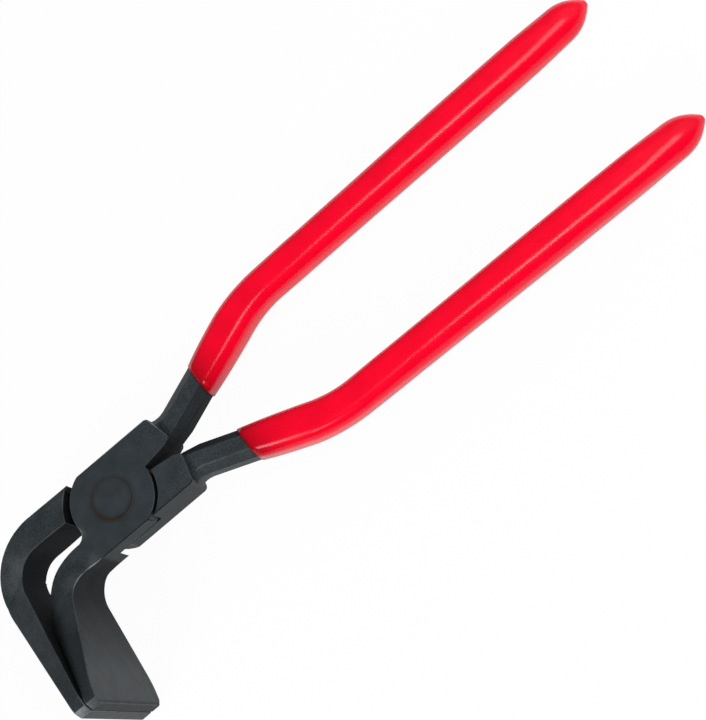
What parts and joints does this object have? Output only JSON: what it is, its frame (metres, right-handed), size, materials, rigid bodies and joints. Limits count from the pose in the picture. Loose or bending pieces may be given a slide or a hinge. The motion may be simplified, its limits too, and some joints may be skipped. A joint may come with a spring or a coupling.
{
  "type": "seaming pliers",
  "caption": "Hand pliers for folding sheet metal, with wide flared jaws bent square to the handles, a riveted lap joint and dipped plastic grips.",
  "frame": {"origin": "on the pivot axis, at the joint's front face", "axes": "+X along the tool to the handles, +Y towards the upper handle, +Z along the pivot axis out of the joint's front face"},
  "size_m": [0.3069, 0.1014, 0.06],
  "materials": {
    "black_steel": "black oxide on forged steel",
    "rivet_steel": "ground flush and blackened",
    "red_grip": "gloss, dipped"
  },
  "bodies": {
    "rear_half": {"rear_arm": "black_steel", "pivot_rivet": "rivet_steel", "lower_grip": "red_grip"},
    "front_half": {"front_arm": "black_steel", "upper_grip": "red_grip"}
  },
  "joints": [
    {"name": "pivot", "type": "hinge", "parent": "rear_half", "child": "front_half", "pos_m": [0, 0, 0], "axis": [0, 0, 1], "range_deg": [0, 35]}
  ]
}
